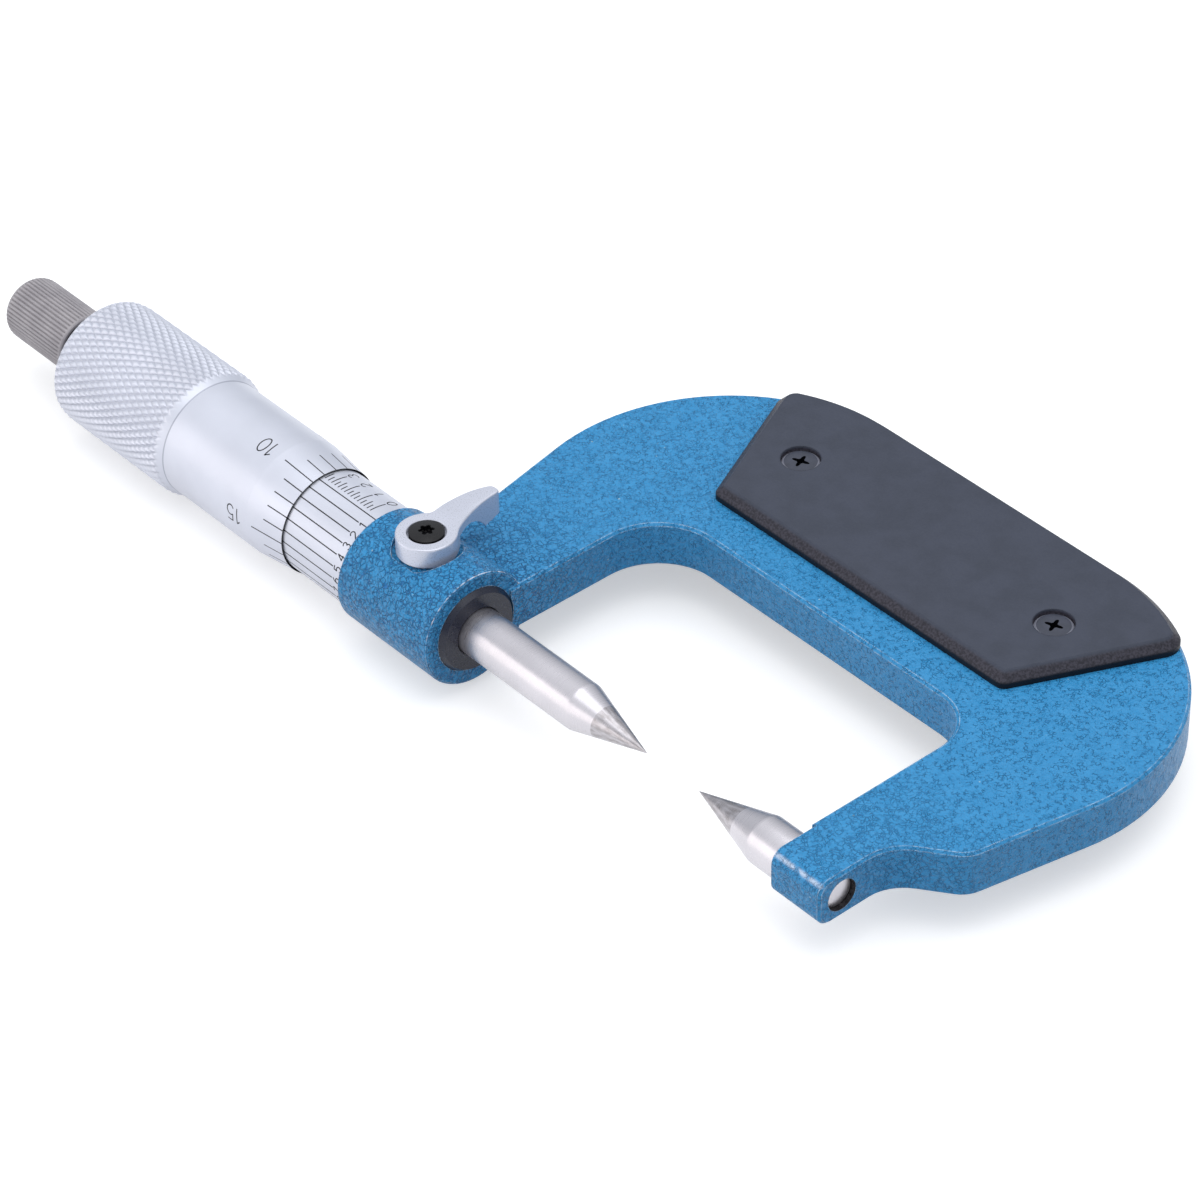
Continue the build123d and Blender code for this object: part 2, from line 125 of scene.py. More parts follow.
def addNode(tree, kind, values=None, **settings):
    node = tree.nodes.new(kind)
    for key, value in settings.items():
        setattr(node, key, value)
    for key, value in (values or {}).items():
        node.inputs[key].default_value = value
    return node


def objectCoords(tree, scale=(1, 1, 1)):
    coords = addNode(tree, "ShaderNodeTexCoord")
    mapping = addNode(tree, "ShaderNodeMapping", {"Scale": scale})
    tree.links.new(coords.outputs["Object"], mapping.inputs["Vector"])
    return mapping.outputs["Vector"]


def noise(tree, coords, scale, detail=3.0, rough=0.5):
    node = addNode(tree, "ShaderNodeTexNoise", {"Scale": scale, "Detail": detail, "Roughness": rough})
    tree.links.new(coords, node.inputs["Vector"])
    return node.outputs["Fac"]


def mapRange(tree, value, low, high, toLow=0.0, toHigh=1.0):
    limits = {"From Min": low, "From Max": high, "To Min": toLow, "To Max": toHigh}
    node = addNode(tree, "ShaderNodeMapRange", limits, interpolation_type="SMOOTHSTEP")
    tree.links.new(value, node.inputs["Value"])
    return node.outputs["Result"]


def mixColor(tree, fac, a, b):
    node = addNode(tree, "ShaderNodeMix", data_type="RGBA")
    tree.links.new(fac, node.inputs["Factor"])
    for socket, value in ((node.inputs[6], a), (node.inputs[7], b)):
        if isinstance(value, tuple):
            socket.default_value = value
        else:
            tree.links.new(value, socket)
    return node.outputs[2]


def calc(tree, operation, a, b=None):
    node = addNode(tree, "ShaderNodeMath", operation=operation)
    for socket, value in zip(node.inputs, (a, b)):
        if value is None:
            continue
        if isinstance(value, (int, float)):
            socket.default_value = value
        else:
            tree.links.new(value, socket)
    return node.outputs[0]


def times(tree, a, b):
    return calc(tree, "MULTIPLY", a, b)


def splitCoords(tree, coords):
    split = addNode(tree, "ShaderNodeSeparateXYZ")
    tree.links.new(coords, split.inputs[0])
    return [split.outputs[side] for side in ("X", "Y", "Z")]


def length(tree, a, b):
    # square root of a * a + b * b
    return calc(tree, "SQRT", calc(tree, "ADD", times(tree, a, a), times(tree, b, b)))


def within(tree, value, limits, toLow=0.0, toHigh=1.0):
    # from toLow at the first of two limits in mm to toHigh at the second
    return mapRange(tree, value, limits[0] * mm, limits[1] * mm, toLow, toHigh)


def near(tree, value, middle, reach):
    # 1 within the first reach of the middle value, 0 beyond the second, in mm
    away = calc(tree, "ABSOLUTE", calc(tree, "SUBTRACT", value, middle * mm))
    return within(tree, away, (reach[1], reach[0]))


def bump(tree, shader, height, distance):
    node = addNode(tree, "ShaderNodeBump", {"Distance": distance * mm, "Strength": 1.0})
    tree.links.new(height, node.inputs["Height"])
    tree.links.new(node.outputs["Normal"], shader.inputs["Normal"])
    return node


def softenEdges(tree, relief, radius):
    # rounds the shading at the edges by a radius in mm, under the bump
    rounded = addNode(tree, "ShaderNodeBevel", {"Radius": radius * mm}, samples=4)
    tree.links.new(rounded.outputs[0], relief.inputs["Normal"])


# enamel: colours, cells and grain per metre, and where it changes, in mm
enamel = {
    "low": srgb(44, 134, 188), "high": srgb(54, 142, 196), "fineDark": srgb(34, 112, 170),
    "coarseDark": srgb(26, 104, 168), "glintSpeck": srgb(176, 206, 214), "rubbedHighlight": srgb(214, 232, 244),
    "paleHighlight": srgb(216, 226, 242), "bare": srgb(44, 42, 44), "fineCells": 2100.0, "coarseCells": 1500.0,
    "grain": 3600.0, "depth": 0.2, "edge": 0.2, "coarseR": (8.0, 22.0), "coarseX": (0.0, 38.0),
    "stemR": (2.14, 2.1), "lineIn": 0.1, "lineReach": (0.06, 0.12), "highlightUpperZ": (0.0, 5.0),
    "endX": (-14.5, -16.5), "endY": 3.4, "endZ": 3.2, "endReach": (0.4, 0.9),
}


def veins(tree, coords, scale, thick, gapLow, gapHigh):
    # edges of warped cells, broken up into short pieces
    warpNoise = addNode(tree, "ShaderNodeTexNoise", {"Scale": scale * 0.8, "Detail": 2.0})
    tree.links.new(coords, warpNoise.inputs["Vector"])
    warp = addNode(tree, "ShaderNodeVectorMath", {"Scale": 0.9 / scale}, operation="SCALE")
    tree.links.new(warpNoise.outputs["Color"], warp.inputs[0])
    warped = addNode(tree, "ShaderNodeVectorMath", operation="ADD")
    tree.links.new(coords, warped.inputs[0])
    tree.links.new(warp.outputs[0], warped.inputs[1])
    cells = addNode(tree, "ShaderNodeTexVoronoi", {"Scale": scale}, feature="DISTANCE_TO_EDGE")
    tree.links.new(warped.outputs[0], cells.inputs["Vector"])
    vein = mapRange(tree, cells.outputs["Distance"], 0.0, thick, 1.0, 0.0)
    broken = mapRange(tree, noise(tree, coords, scale * 0.7, 2.0), gapLow, gapHigh)
    return times(tree, vein, broken)


def rubbedEdge(tree, coords, radius):
    # worn paint with a painted highlight on it: the mask is where the rounded normal leaves the face normal near an
    # edge
    rounded = addNode(tree, "ShaderNodeBevel", {"Radius": radius * mm}, samples=4)
    geometry = addNode(tree, "ShaderNodeNewGeometry")
    facing = addNode(tree, "ShaderNodeVectorMath", operation="DOT_PRODUCT")
    tree.links.new(rounded.outputs[0], facing.inputs[0])
    tree.links.new(geometry.outputs["True Normal"], facing.inputs[1])
    edge = mapRange(tree, facing.outputs["Value"], 0.99, 0.86, 0.0, 1.0)
    patches = mapRange(tree, noise(tree, coords, 700.0, 4.0), 0.4, 0.58, 0.3, 1.0)
    return rounded, times(tree, edge, patches)


def islands(tree, coords, scale):
    # low domes, one over each cell
    cells = addNode(tree, "ShaderNodeTexVoronoi", {"Scale": scale}, feature="SMOOTH_F1")
    cells.inputs["Smoothness"].default_value = 0.3
    tree.links.new(coords, cells.inputs["Vector"])
    return mapRange(tree, cells.outputs["Distance"], 0.7, 0.1, 0.0, 1.0)


def paleHubLine(tree, coords, x, z, axisR):
    # a painted highlight: a thin broken line round the hub's front edge, stronger on its upper side where the light
    # falls
    line = times(tree, near(tree, x, axis["hubX0"] + enamel["lineIn"], enamel["lineReach"]),
                 near(tree, axisR, axis["hubR"] - enamel["lineIn"], enamel["lineReach"]))
    gaps = mapRange(tree, noise(tree, coords, 900.0, 4.0), 0.42, 0.55, 0.1, 0.85)
    return times(tree, line, times(tree, gaps, within(tree, z, enamel["highlightUpperZ"], 0.25, 1.0)))


def paleEndBand(tree, coords, x, y, z):
    # a painted highlight: a patchy band along the top edge of the anvil arm's end
    band = times(tree, near(tree, y, enamel["endY"], enamel["endReach"]),
                 near(tree, z, enamel["endZ"], enamel["endReach"]))
    patches = mapRange(tree, noise(tree, coords, 1100.0, 4.0), 0.36, 0.56, 0.15, 0.8)
    return times(tree, times(tree, band, within(tree, x, enamel["endX"])), patches)


def crinkleEnamel():
    # crinkle paint: fine flecks on the bow, coarser islands near the axis, a few pale specks painted in as glints,
    # rubbed edges with a painted highlight, painted highlight lines on the hub's front edge and the arm's end, and
    # bare dark metal in the hole for the anvil's stem
    material, tree, shader = newMaterial("blueEnamel")
    coords = objectCoords(tree)
    x, y, z = splitCoords(tree, coords)
    axisR = length(tree, y, z)
    coarse = within(tree, axisR, enamel["coarseR"], 1.0, 0.3)
    coarse = times(tree, coarse, within(tree, x, enamel["coarseX"], 0.5, 1.0))
    fineVein = veins(tree, coords, enamel["fineCells"], 0.14, 0.46, 0.62)
    coarseVein = veins(tree, coords, enamel["coarseCells"], 0.1, 0.36, 0.54)
    vein = calc(tree, "MAXIMUM", times(tree, fineVein, 0.6), times(tree, coarseVein, coarse))
    shade = mapRange(tree, noise(tree, coords, 500.0, 6.0, 0.7), 0.34, 0.66)
    base = mixColor(tree, shade, enamel["low"], enamel["high"])
    dark = mixColor(tree, coarse, enamel["fineDark"], enamel["coarseDark"])
    color = mixColor(tree, times(tree, vein, 0.85), base, dark)
    # pale specks painted in as glints on the crinkle
    glintSpeck = mapRange(tree, noise(tree, coords, 1500.0, 1.0), 0.79, 0.81, 0.0, 0.7)
    color = mixColor(tree, glintSpeck, color, enamel["glintSpeck"])
    # edges lightened: worn paint with a painted highlight on it
    rounded, rubbedHighlight = rubbedEdge(tree, coords, enamel["edge"])
    color = mixColor(tree, rubbedHighlight, color, enamel["rubbedHighlight"])
    # painted highlights along the hub's front edge and the anvil arm's end
    paleHighlight = calc(tree, "MAXIMUM", paleHubLine(tree, coords, x, z, axisR), paleEndBand(tree, coords, x, y, z))
    color = mixColor(tree, paleHighlight, color, enamel["paleHighlight"])
    color = mixColor(tree, within(tree, axisR, enamel["stemR"]), color, enamel["bare"])
    tree.links.new(color, shader.inputs["Base Color"])
    grain = times(tree, noise(tree, coords, enamel["grain"], 2.0), 0.5)
    dome = times(tree, islands(tree, coords, enamel["coarseCells"]), coarse)
    height = calc(tree, "SUBTRACT", calc(tree, "ADD", grain, dome), vein)
    relief = bump(tree, shader, height, enamel["depth"])
    tree.links.new(rounded.outputs[0], relief.inputs["Normal"])
    rough = mapRange(tree, noise(tree, coords, 900.0, 2.0), 0.3, 0.7, 0.28, 0.4)
    tree.links.new(rough, shader.inputs["Roughness"])
    shader.inputs["Specular IOR Level"].default_value = 0.3
    return material


def satinMetal(name, color, rough, grain=(9000, 9000, 9000), depth=0.0015, tint=0.06, metallic=1.0):
    # blasted and plated metal: slow cloud in the colour, even fine grain in the gloss
    material, tree, shader = newMaterial(name)
    shader.inputs["Metallic"].default_value = metallic
    coords = objectCoords(tree)
    grainCoords = objectCoords(tree, grain)
    cloud = noise(tree, coords, 130.0, 4.0)
    dark = tuple(c * (1 - tint) for c in color[:3]) + (1.0,)
    tinted = mixColor(tree, mapRange(tree, cloud, 0.3, 0.7), dark, color)
    tree.links.new(tinted, shader.inputs["Base Color"])
    fine = noise(tree, grainCoords, 1.0, 2.0)
    tree.links.new(mapRange(tree, fine, 0.2, 0.8, rough - 0.05, rough + 0.06), shader.inputs["Roughness"])
    bump(tree, shader, fine, depth)
    return material, tree, shader, coords, tinted


# pins: ground steel, and how far from the middle of the gap the points are ground again, in mm
pinSteel = {"color": srgb(206, 203, 208), "point": srgb(154, 150, 152), "rough": 0.3, "metallic": 0.92,
            "lines": (16000, 500, 500), "depth": 0.003, "streaks": (300, 2600, 2600), "reach": (12.22, 12.12)}


def pointSteel():
    # ground steel whose points, up to 7.6 mm from each tip, are ground again and look a little darker
    material, tree, shader, coords, tinted = satinMetal(
        "groundSteel", pinSteel["color"], pinSteel["rough"], pinSteel["lines"], pinSteel["depth"], 0.1,
        pinSteel["metallic"])
    x = splitCoords(tree, coords)[0]
    fromMiddle = calc(tree, "ABSOLUTE", calc(tree, "SUBTRACT", x, axis["tipGap"] / 2 * mm))
    streaks = noise(tree, objectCoords(tree, pinSteel["streaks"]), 1.0, 3.0)
    shade = times(tree, within(tree, fromMiddle, pinSteel["reach"]), mapRange(tree, streaks, 0.3, 0.7, 0.35, 1.0))
    tree.links.new(mixColor(tree, shade, tinted, pinSteel["point"]), shader.inputs["Base Color"])
    return material


# thimble: plating, and where painted shade and shadow make it dark, in mm
plating = {"color": srgb(210, 213, 224), "shadow": srgb(122, 126, 142), "bore": srgb(10, 10, 13), "rough": 0.4,
           "metallic": 0.45, "gripX": (93.5, 94.0), "grooveR": (8.75, 8.5), "footX": 92.44,
           "footReach": (0.05, 0.12), "boreR": (7.34, 7.32), "boreX": (101.0, 100.0), "edgeX": (69.04, 69.01)}


def thimbleChrome():
    # satin chrome outside; painted shadow: dark in the front part of the bore and on the front edge, so that the
    # gap round the sleeve reads as a black line; painted shade: the knurl's grooves and the foot of its lead are a
    # little darker
    material, tree, shader, coords, tinted = satinMetal(
        "thimbleChrome", plating["color"], plating["rough"], metallic=plating["metallic"])
    x, y, z = splitCoords(tree, coords)
    axisR = length(tree, y, z)
    # painted shade in the knurl's grooves and at the foot of its lead
    grooveShade = times(tree, within(tree, x, plating["gripX"]), within(tree, axisR, plating["grooveR"], 0.0, 0.2))
    footShade = times(tree, near(tree, x, plating["footX"], plating["footReach"]), 0.55)
    color = mixColor(tree, calc(tree, "MAXIMUM", grooveShade, footShade), tinted, plating["shadow"])
    # painted shadow: the bore's front part and the front edge turned dark so that the gap reads black
    bore = times(tree, within(tree, axisR, plating["boreR"]), within(tree, x, plating["boreX"]))
    dark = calc(tree, "MAXIMUM", bore, within(tree, x, plating["edgeX"]))
    tree.links.new(mixColor(tree, dark, color, plating["bore"]), shader.inputs["Base Color"])
    return material


# knob: greys, and where the painted shade in the grooves lies, in mm
knobPaint = {"low": srgb(148, 144, 148), "high": srgb(164, 160, 163), "grooveShade": srgb(96, 92, 96),
             "grooveR": (4.36, 4.2), "startX": (120.5, 120.7), "endX": (132.6, 132.2)}


def knobGrey():
    # matt grey, with painted shade darker between the ribs
    material, tree, shader = newMaterial("knobGrey")
    coords = objectCoords(tree)
    cloud = mapRange(tree, noise(tree, coords, 300.0, 3.0), 0.3, 0.7)
    color = mixColor(tree, cloud, knobPaint["low"], knobPaint["high"])
    x, y, z = splitCoords(tree, coords)
    # painted shade between the ribs
    grooveShade = within(tree, length(tree, y, z), knobPaint["grooveR"], 0.0, 0.45)
    ribbed = times(tree, within(tree, x, knobPaint["startX"]), within(tree, x, knobPaint["endX"]))
    color = mixColor(tree, times(tree, grooveShade, ribbed), color, knobPaint["grooveShade"])
    tree.links.new(color, shader.inputs["Base Color"])
    fine = noise(tree, coords, 2600.0, 3.0)
    tree.links.new(mapRange(tree, fine, 0.25, 0.75, 0.42, 0.54), shader.inputs["Roughness"])
    bump(tree, shader, fine, 0.008)
    return material


# plate screws: where they stand, their heads and cross recesses, and their finish, in mm and degrees
plateScrew = {
    "x": 12.05, "dx": 22.0, "y": -47.5, "floorZ": 4.45, "topZ": 4.78, "headR": 2.46, "bevel": 0.34, "drop": 0.26,
    "shankR": 1.05, "bite": 2.6, "crossIn": 0.5, "crossOut": 1.24, "crossDepth": 0.5, "turn": 20.0, "cols": 96,
    "low": srgb(54, 58, 70), "high": srgb(62, 66, 80), "rim": srgb(150, 152, 166), "recessShade": srgb(6, 6, 9),
    "rimR": 2.29, "rimReach": (0.12, 0.2), "recessR": (1.4, 1.3), "recessZ": (4.77, 4.74),
}


def screwBlack():
    # a cross recess painted black as shade and a turned rim painted paler as a highlight; the radius is taken from
    # each screw's own axis
    material, tree, shader = newMaterial("screwBlack")
    coords = objectCoords(tree)
    x, y, z = splitCoords(tree, coords)
    fromPair = calc(tree, "ABSOLUTE", calc(tree, "SUBTRACT", x, plateScrew["x"] * mm))
    across = calc(tree, "SUBTRACT", fromPair, plateScrew["dx"] * mm)
    r = length(tree, across, calc(tree, "SUBTRACT", y, plateScrew["y"] * mm))
    cloud = mapRange(tree, noise(tree, coords, 700.0, 3.0), 0.3, 0.7)
    color = mixColor(tree, cloud, plateScrew["low"], plateScrew["high"])
    # painted highlight on the turned rim
    rim = near(tree, r, plateScrew["rimR"], plateScrew["rimReach"])
    color = mixColor(tree, times(tree, rim, 0.8), color, plateScrew["rim"])
    # painted shade: the cross recess nearly black, with less specular there
    sunk = within(tree, calc(tree, "ABSOLUTE", z), plateScrew["recessZ"])
    recessShade = times(tree, sunk, within(tree, r, plateScrew["recessR"]))
    color = mixColor(tree, recessShade, color, plateScrew["recessShade"])
    tree.links.new(color, shader.inputs["Base Color"])
    fine = noise(tree, coords, 3200.0, 3.0)
    tree.links.new(mapRange(tree, fine, 0.25, 0.75, 0.36, 0.48), shader.inputs["Roughness"])
    shine = times(tree, calc(tree, "SUBTRACT", 1.0, recessShade), 0.4)
    tree.links.new(shine, shader.inputs["Specular IOR Level"])
    bump(tree, shader, fine, 0.006)
    return material


# grip plates: greys of the top, the grained bevel darkened by painted shade, and the low wall darkened by painted
# shade, by height from the middle in mm
gripFinish = {"low": srgb(56, 61, 74), "high": srgb(61, 66, 80), "bevelShadeLow": srgb(34, 33, 42),
              "bevelShadeHigh": srgb(58, 56, 66), "wall": srgb(14, 16, 25), "bevelZ": (5.15, 4.75), "wallZ": (4.15, 3.9)}


def plateGrey():
    # matt plastic with softened edges: the bevel is grained and darker from painted shade, and the low wall nearly
    # black from painted shade
    material, tree, shader = newMaterial("gripPlastic")
    coords = objectCoords(tree)
    cloud = mapRange(tree, noise(tree, coords, 300.0, 3.0), 0.3, 0.7)
    color = mixColor(tree, cloud, gripFinish["low"], gripFinish["high"])
    height = calc(tree, "ABSOLUTE", splitCoords(tree, coords)[2])
    bevel = within(tree, height, gripFinish["bevelZ"])
    grain = mapRange(tree, noise(tree, coords, 3400.0, 3.0), 0.35, 0.65)
    # the grain is the plastic's own; the darker bevel is painted shade
    color = mixColor(tree, bevel, color, mixColor(tree, grain, gripFinish["bevelShadeLow"], gripFinish["bevelShadeHigh"]))
    # painted shade: the low wall nearly black
    color = mixColor(tree, within(tree, height, gripFinish["wallZ"]), color, gripFinish["wall"])
    tree.links.new(color, shader.inputs["Base Color"])
    fine = noise(tree, coords, 3200.0, 3.0)
    tree.links.new(mapRange(tree, fine, 0.25, 0.75, 0.44, 0.56), shader.inputs["Roughness"])
    shader.inputs["Specular IOR Level"].default_value = 0.3
    relief = bump(tree, shader, times(tree, fine, calc(tree, "ADD", bevel, 0.2)), 0.05)
    softenEdges(tree, relief, 0.4)
    return material


def plainFinish(name, color, rough, scale, depth=0.006, mottled=0.12, spec=0.5, soften=0.0):
    # mottled colour and fine grain; soften rounds the shaded edges by that many mm
    material, tree, shader = newMaterial(name)
    coords = objectCoords(tree)
    cloud = mapRange(tree, noise(tree, coords, 300.0, 3.0), 0.3, 0.7)
    dark = tuple(c * (1 - mottled) for c in color[:3]) + (1.0,)
    tree.links.new(mixColor(tree, cloud, dark, color), shader.inputs["Base Color"])
    fine = noise(tree, coords, scale, 3.0)
    tree.links.new(mapRange(tree, fine, 0.25, 0.75, rough - 0.06, rough + 0.06), shader.inputs["Roughness"])
    shader.inputs["Specular IOR Level"].default_value = spec
    relief = bump(tree, shader, fine, depth)
    if soften:
        softenEdges(tree, relief, soften)
    return material


looks = {
    "blue_enamel": crinkleEnamel(),
    "ground_steel": pointSteel(),
    "satin_chrome": satinMetal("satinChrome", srgb(210, 213, 224), 0.42, metallic=0.4)[0],
    "thimble_chrome": thimbleChrome(),
    "lever_chrome": satinMetal("leverChrome", srgb(206, 209, 221), 0.3, metallic=0.5)[0],
    "black_oxide": plainFinish("blackOxide", srgb(14, 14, 18), 0.24, 2600.0, spec=0.35, soften=0.2),
    "ring_black": plainFinish("ringBlack", srgb(22, 27, 46), 0.3, 2600.0, spec=0.4, soften=0.1),
    "grip_plastic": plateGrey(),
    "screw_black": screwBlack(),
    "grey_knob": knobGrey(),
    "spring_steel": satinMetal("springSteel", srgb(180, 182, 188), 0.3)[0],
    "brass": satinMetal("brass", srgb(196, 164, 92), 0.34)[0],
    "print": plainFinish("scaleInk", srgb(38, 38, 42), 0.6, 5000.0, 0.002, 0.2, 0.3),
}
print("materials made:", len(looks))

nodeLooks = {
    "frame": "blue_enamel", "anvil": "ground_steel", "spindle": "ground_steel", "front_bush": "ring_black",
    "inner_sleeve": "ground_steel", "adjusting_nut": "ground_steel", "outer_sleeve": "satin_chrome",
    "thimble": "satin_chrome", "thimble_cone": "ground_steel", "ratchet_seat": "ground_steel",
    "ratchet_pawl": "ground_steel", "ratchet_screw": "black_oxide", "ratchet_washer": "spring_steel",
    "ratchet_spring": "spring_steel", "ratchet_knob": "grey_knob", "lock_lever": "satin_chrome",
    "lock_stud": "ground_steel", "lock_screw": "black_oxide", "lock_washer": "spring_steel",
    "lock_plug": "brass", "front_plate": "grip_plastic", "back_plate": "grip_plastic",
    "front_plate_screws": "black_oxide", "back_plate_screws": "black_oxide",
}
for name, look in nodeLooks.items():
    mesh = nodes[name].data
    mesh.materials.clear()
    mesh.materials.append(looks[look])
print("nodes painted:", len(nodeLooks))


def place(piece, look, body, replaced=()):
    piece.data.materials.append(looks[look])
    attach(piece, body)
    if replaced:
        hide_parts(*replaced)
    return piece


# thimble: bevelled edge, barrel and a grip with a diamond knurl, in mm
knurl = {"lines": 50, "helix": 29.0, "deep": 0.38, "shallow": 0.29, "perPitch": 10, "crest": 0.9, "round": 0.9}
thimble = {"boreR": 7.18, "seamX": 8.0, "seamGap": 0.5, "mouth": 0.5, "edgeFlat": 0.03, "leadStart": 0.2,
           "rowsStart": 0.3, "endFaceR": 7.5, "endHoleR": 5.22, "sinkX": 114.2, "sinkR": 4.92, "coneMouthR": 3.95,
           "coneX": 109.0, "coneR": 4.3, "pocketX": 108.0, "pocketR": 6.2}


def knurlRelief(x, r, angle):
    # two sets of V grooves at +helix and -helix, each a depth times (1 - |sin| ^ crest); the deeper one counts,
    # and it cuts to its own distance from the axis, so that it runs out on the lead and on the rounded end
    outside = (r > axis["barrelR"] + 0.02) & (x > axis["gripX0"])
    slope = np.tan(radians(knurl["helix"])) / axis["gripR"]
    first, second = (
        knurl[depth] * (1 - np.abs(np.sin(knurl["lines"] * (angle + lean * slope * x) / 2)) ** knurl["crest"])
        for depth, lean in (("deep", 1), ("shallow", -1)))
    cut = axis["gripR"] - np.maximum(first, second)
    return x, np.where(outside, np.minimum(r, cut), r)


def quarterRound(x1, r, size, steps):
    # x = x1 - size (1 - sin turn), r drops by size (1 - cos turn), from just past the side to the end face
    turn = np.linspace(0, np.pi / 2, steps)[1:]
    return np.stack([x1 - size + size * np.sin(turn), r - size * (1 - np.cos(turn))], -1)


def gripRows(columns):
    # rows lie where the grooves step on by one column, so that both sets run through the grid's corners
    rowStep = 2 * np.pi / columns * axis["gripR"] / np.tan(radians(knurl["helix"]))
    x = np.arange(axis["gripX0"] + thimble["rowsStart"], axis["gripX1"] - knurl["round"], rowStep)
    share = np.clip((x - axis["gripX0"]) / axis["gripLead"], 0, 1)
    return np.stack([x, axis["barrelR"] + (axis["gripR"] - axis["barrelR"]) * share], -1)


def thimblePath(columns):
    # bore, edge, bevel and barrel, then the grip's rows, its rounded end, the end face and the steps inside
    edgeX, edgeR, barrelR, boreR = axis["edgeX"], axis["edgeR"], axis["barrelR"], thimble["boreR"]
    leadR = barrelR + thimble["leadStart"] * (axis["gripR"] - barrelR) / axis["gripLead"]
    front = softPath([
        (edgeX + thimble["seamX"], boreR), (edgeX + thimble["mouth"], boreR, 0.02), (edgeX, edgeR - 0.02, 0.01),
        (edgeX + thimble["edgeFlat"], edgeR + 0.01, 0.01), (axis["bevelX1"], barrelR, 0.03),
        (axis["gripX0"], barrelR, 0.02), (axis["gripX0"] + thimble["leadStart"], leadR)])
    inside = softPath([
        (axis["gripX1"], thimble["endFaceR"]), (axis["gripX1"], thimble["endHoleR"], 0.12),
        (thimble["sinkX"], thimble["sinkR"], 0.1), (thimble["sinkX"], thimble["coneMouthR"]),
        (thimble["coneX"], thimble["coneR"]), (thimble["coneX"], thimble["pocketR"]),
        (thimble["pocketX"], boreR), (edgeX + thimble["seamX"] + thimble["seamGap"], boreR)])
    return np.concatenate([
        front, gripRows(columns), quarterRound(axis["gripX1"], axis["gripR"], knurl["round"], 9), inside])


knurlCols = knurl["lines"] * knurl["perPitch"]
place(turnedPiece("knurledThimble", thimblePath(knurlCols), knurlCols, True, knurlRelief),
      "thimble_chrome", "thimble_body", ["thimble"])
print("thimble made")

# ratchet knob: straight ribs that run out into the rounded end, behind a narrower neck, in mm
rib = {"count": 48, "depth": 0.26, "perRib": 9, "x0": 120.1, "boreR": 3.5, "faceR": 3.9, "bevel": 0.2,
       "round": 1.6, "cap": 1.2, "wallR": 3.6, "fadeStart": 0.25, "fadeIn": 0.3, "fadeEnd": 0.45, "fadeOut": 1.0}
neck = {"r": 3.9, "bevel": 0.1, "lip": 0.8, "lipR": 3.4, "boreR": 3.27, "tuck": 0.02, "spigot": 0.9,
        "spigotR": 3.49, "spigotBoreR": 3.3}


def ribRelief(x, r, angle):
    # scallops: r drops by depth times (1 - |cos|) of half the rib angle, and the ribs fade out at both ends
    wave = np.abs(np.cos(rib["count"] * angle / 2))
    fadeIn = np.clip((x - rib["x0"] - rib["fadeStart"]) / rib["fadeIn"], 0, 1)
    fadeOut = np.clip((axis["knobX1"] - rib["fadeEnd"] - x) / rib["fadeOut"], 0, 1)
    outside = r > 4.0
    return x, r - np.where(outside, rib["depth"] * (1 - wave) * fadeIn * fadeOut, 0)


def knobPath():
    # mouth of the sleeve, front face, ribbed side, rounded end, and the wall inside
    x0, x1, r = rib["x0"], axis["knobX1"], axis["knobR"]
    face = softPath([(x0, rib["faceR"]), (x0, r - rib["bevel"], 0.06), (x0 + rib["bevel"], r, 0.08), (x0 + 0.6, r)])
    side = np.stack([np.linspace(x0 + 0.8, x1 - rib["round"], 12), np.full(12, r)], -1)
    return np.concatenate([
        np.array([[x0 + 1.0, rib["boreR"]], [x0, rib["boreR"]]]), face, side, quarterRound(x1, r, rib["round"], 12),
        np.array([[x1, 1.6], [x1, 0.0], [x1 - rib["cap"], 0.0], [x1 - rib["cap"], rib["wallR"]],
                  [x0 + 1.1, rib["wallR"]]])])


def neckPath():
    # lip over the pawl, bevel, neck, and the spigot that enters the ribbed sleeve
    x0, x1, r = axis["knobX0"], rib["x0"], neck["r"]
    return np.array([
        [x0 + neck["lip"], neck["boreR"]], [x0 + neck["lip"], neck["lipR"]], [x0, neck["lipR"]],
        [x0, r - neck["bevel"]], [x0 + neck["bevel"], r], [x1 + neck["tuck"], r],
        [x1 + neck["tuck"], neck["spigotR"]], [x1 + neck["spigot"], neck["spigotR"]],
        [x1 + neck["spigot"], neck["spigotBoreR"]], [x1 + 0.1, neck["boreR"]]])


place(turnedPiece("ribbedKnob", knobPath(), rib["count"] * rib["perRib"], True, ribRelief),
      "grey_knob", "knob_body", ["ratchet_knob"])
place(turnedPiece("knobNeck", neckPath(), 96, True), "black_oxide", "knob_body")
print("knob made")

# pins: turned cones on ground shanks, and (x, r) of the spindle's end and the anvil's stem, in mm
pin = {
    "cone": 11.25, "tipR": 0.04, "blend": 0.25, "shankX": 65.0, "shoulderX": -15.98, "stemR": 2.08, "stemX": -23.2,
    "relief": [(65.4, 2.6), (66.0, 2.6)], "thread": [(66.4, 2.95), (107.5, 2.95)],
    "tail": [(108.1, 2.38), (113.6, 2.38)], "tapped": [(113.6, 1.27), (104.1, 1.27), (103.4, 0.0)],
}


def spindlePath():
    # cone and shank, then the relief, the thread's land, the tail and the tapped hole in its end
    tip, r = axis["tipGap"], axis["pinR"]
    front = softPath([(tip, pin["tipR"]), (tip + pin["cone"], r, pin["blend"]), (pin["shankX"], r)])
    back = np.array(pin["relief"] + pin["thread"] + pin["tail"] + pin["tapped"])
    return np.concatenate([np.array([[tip, 0.0]]), front, back])


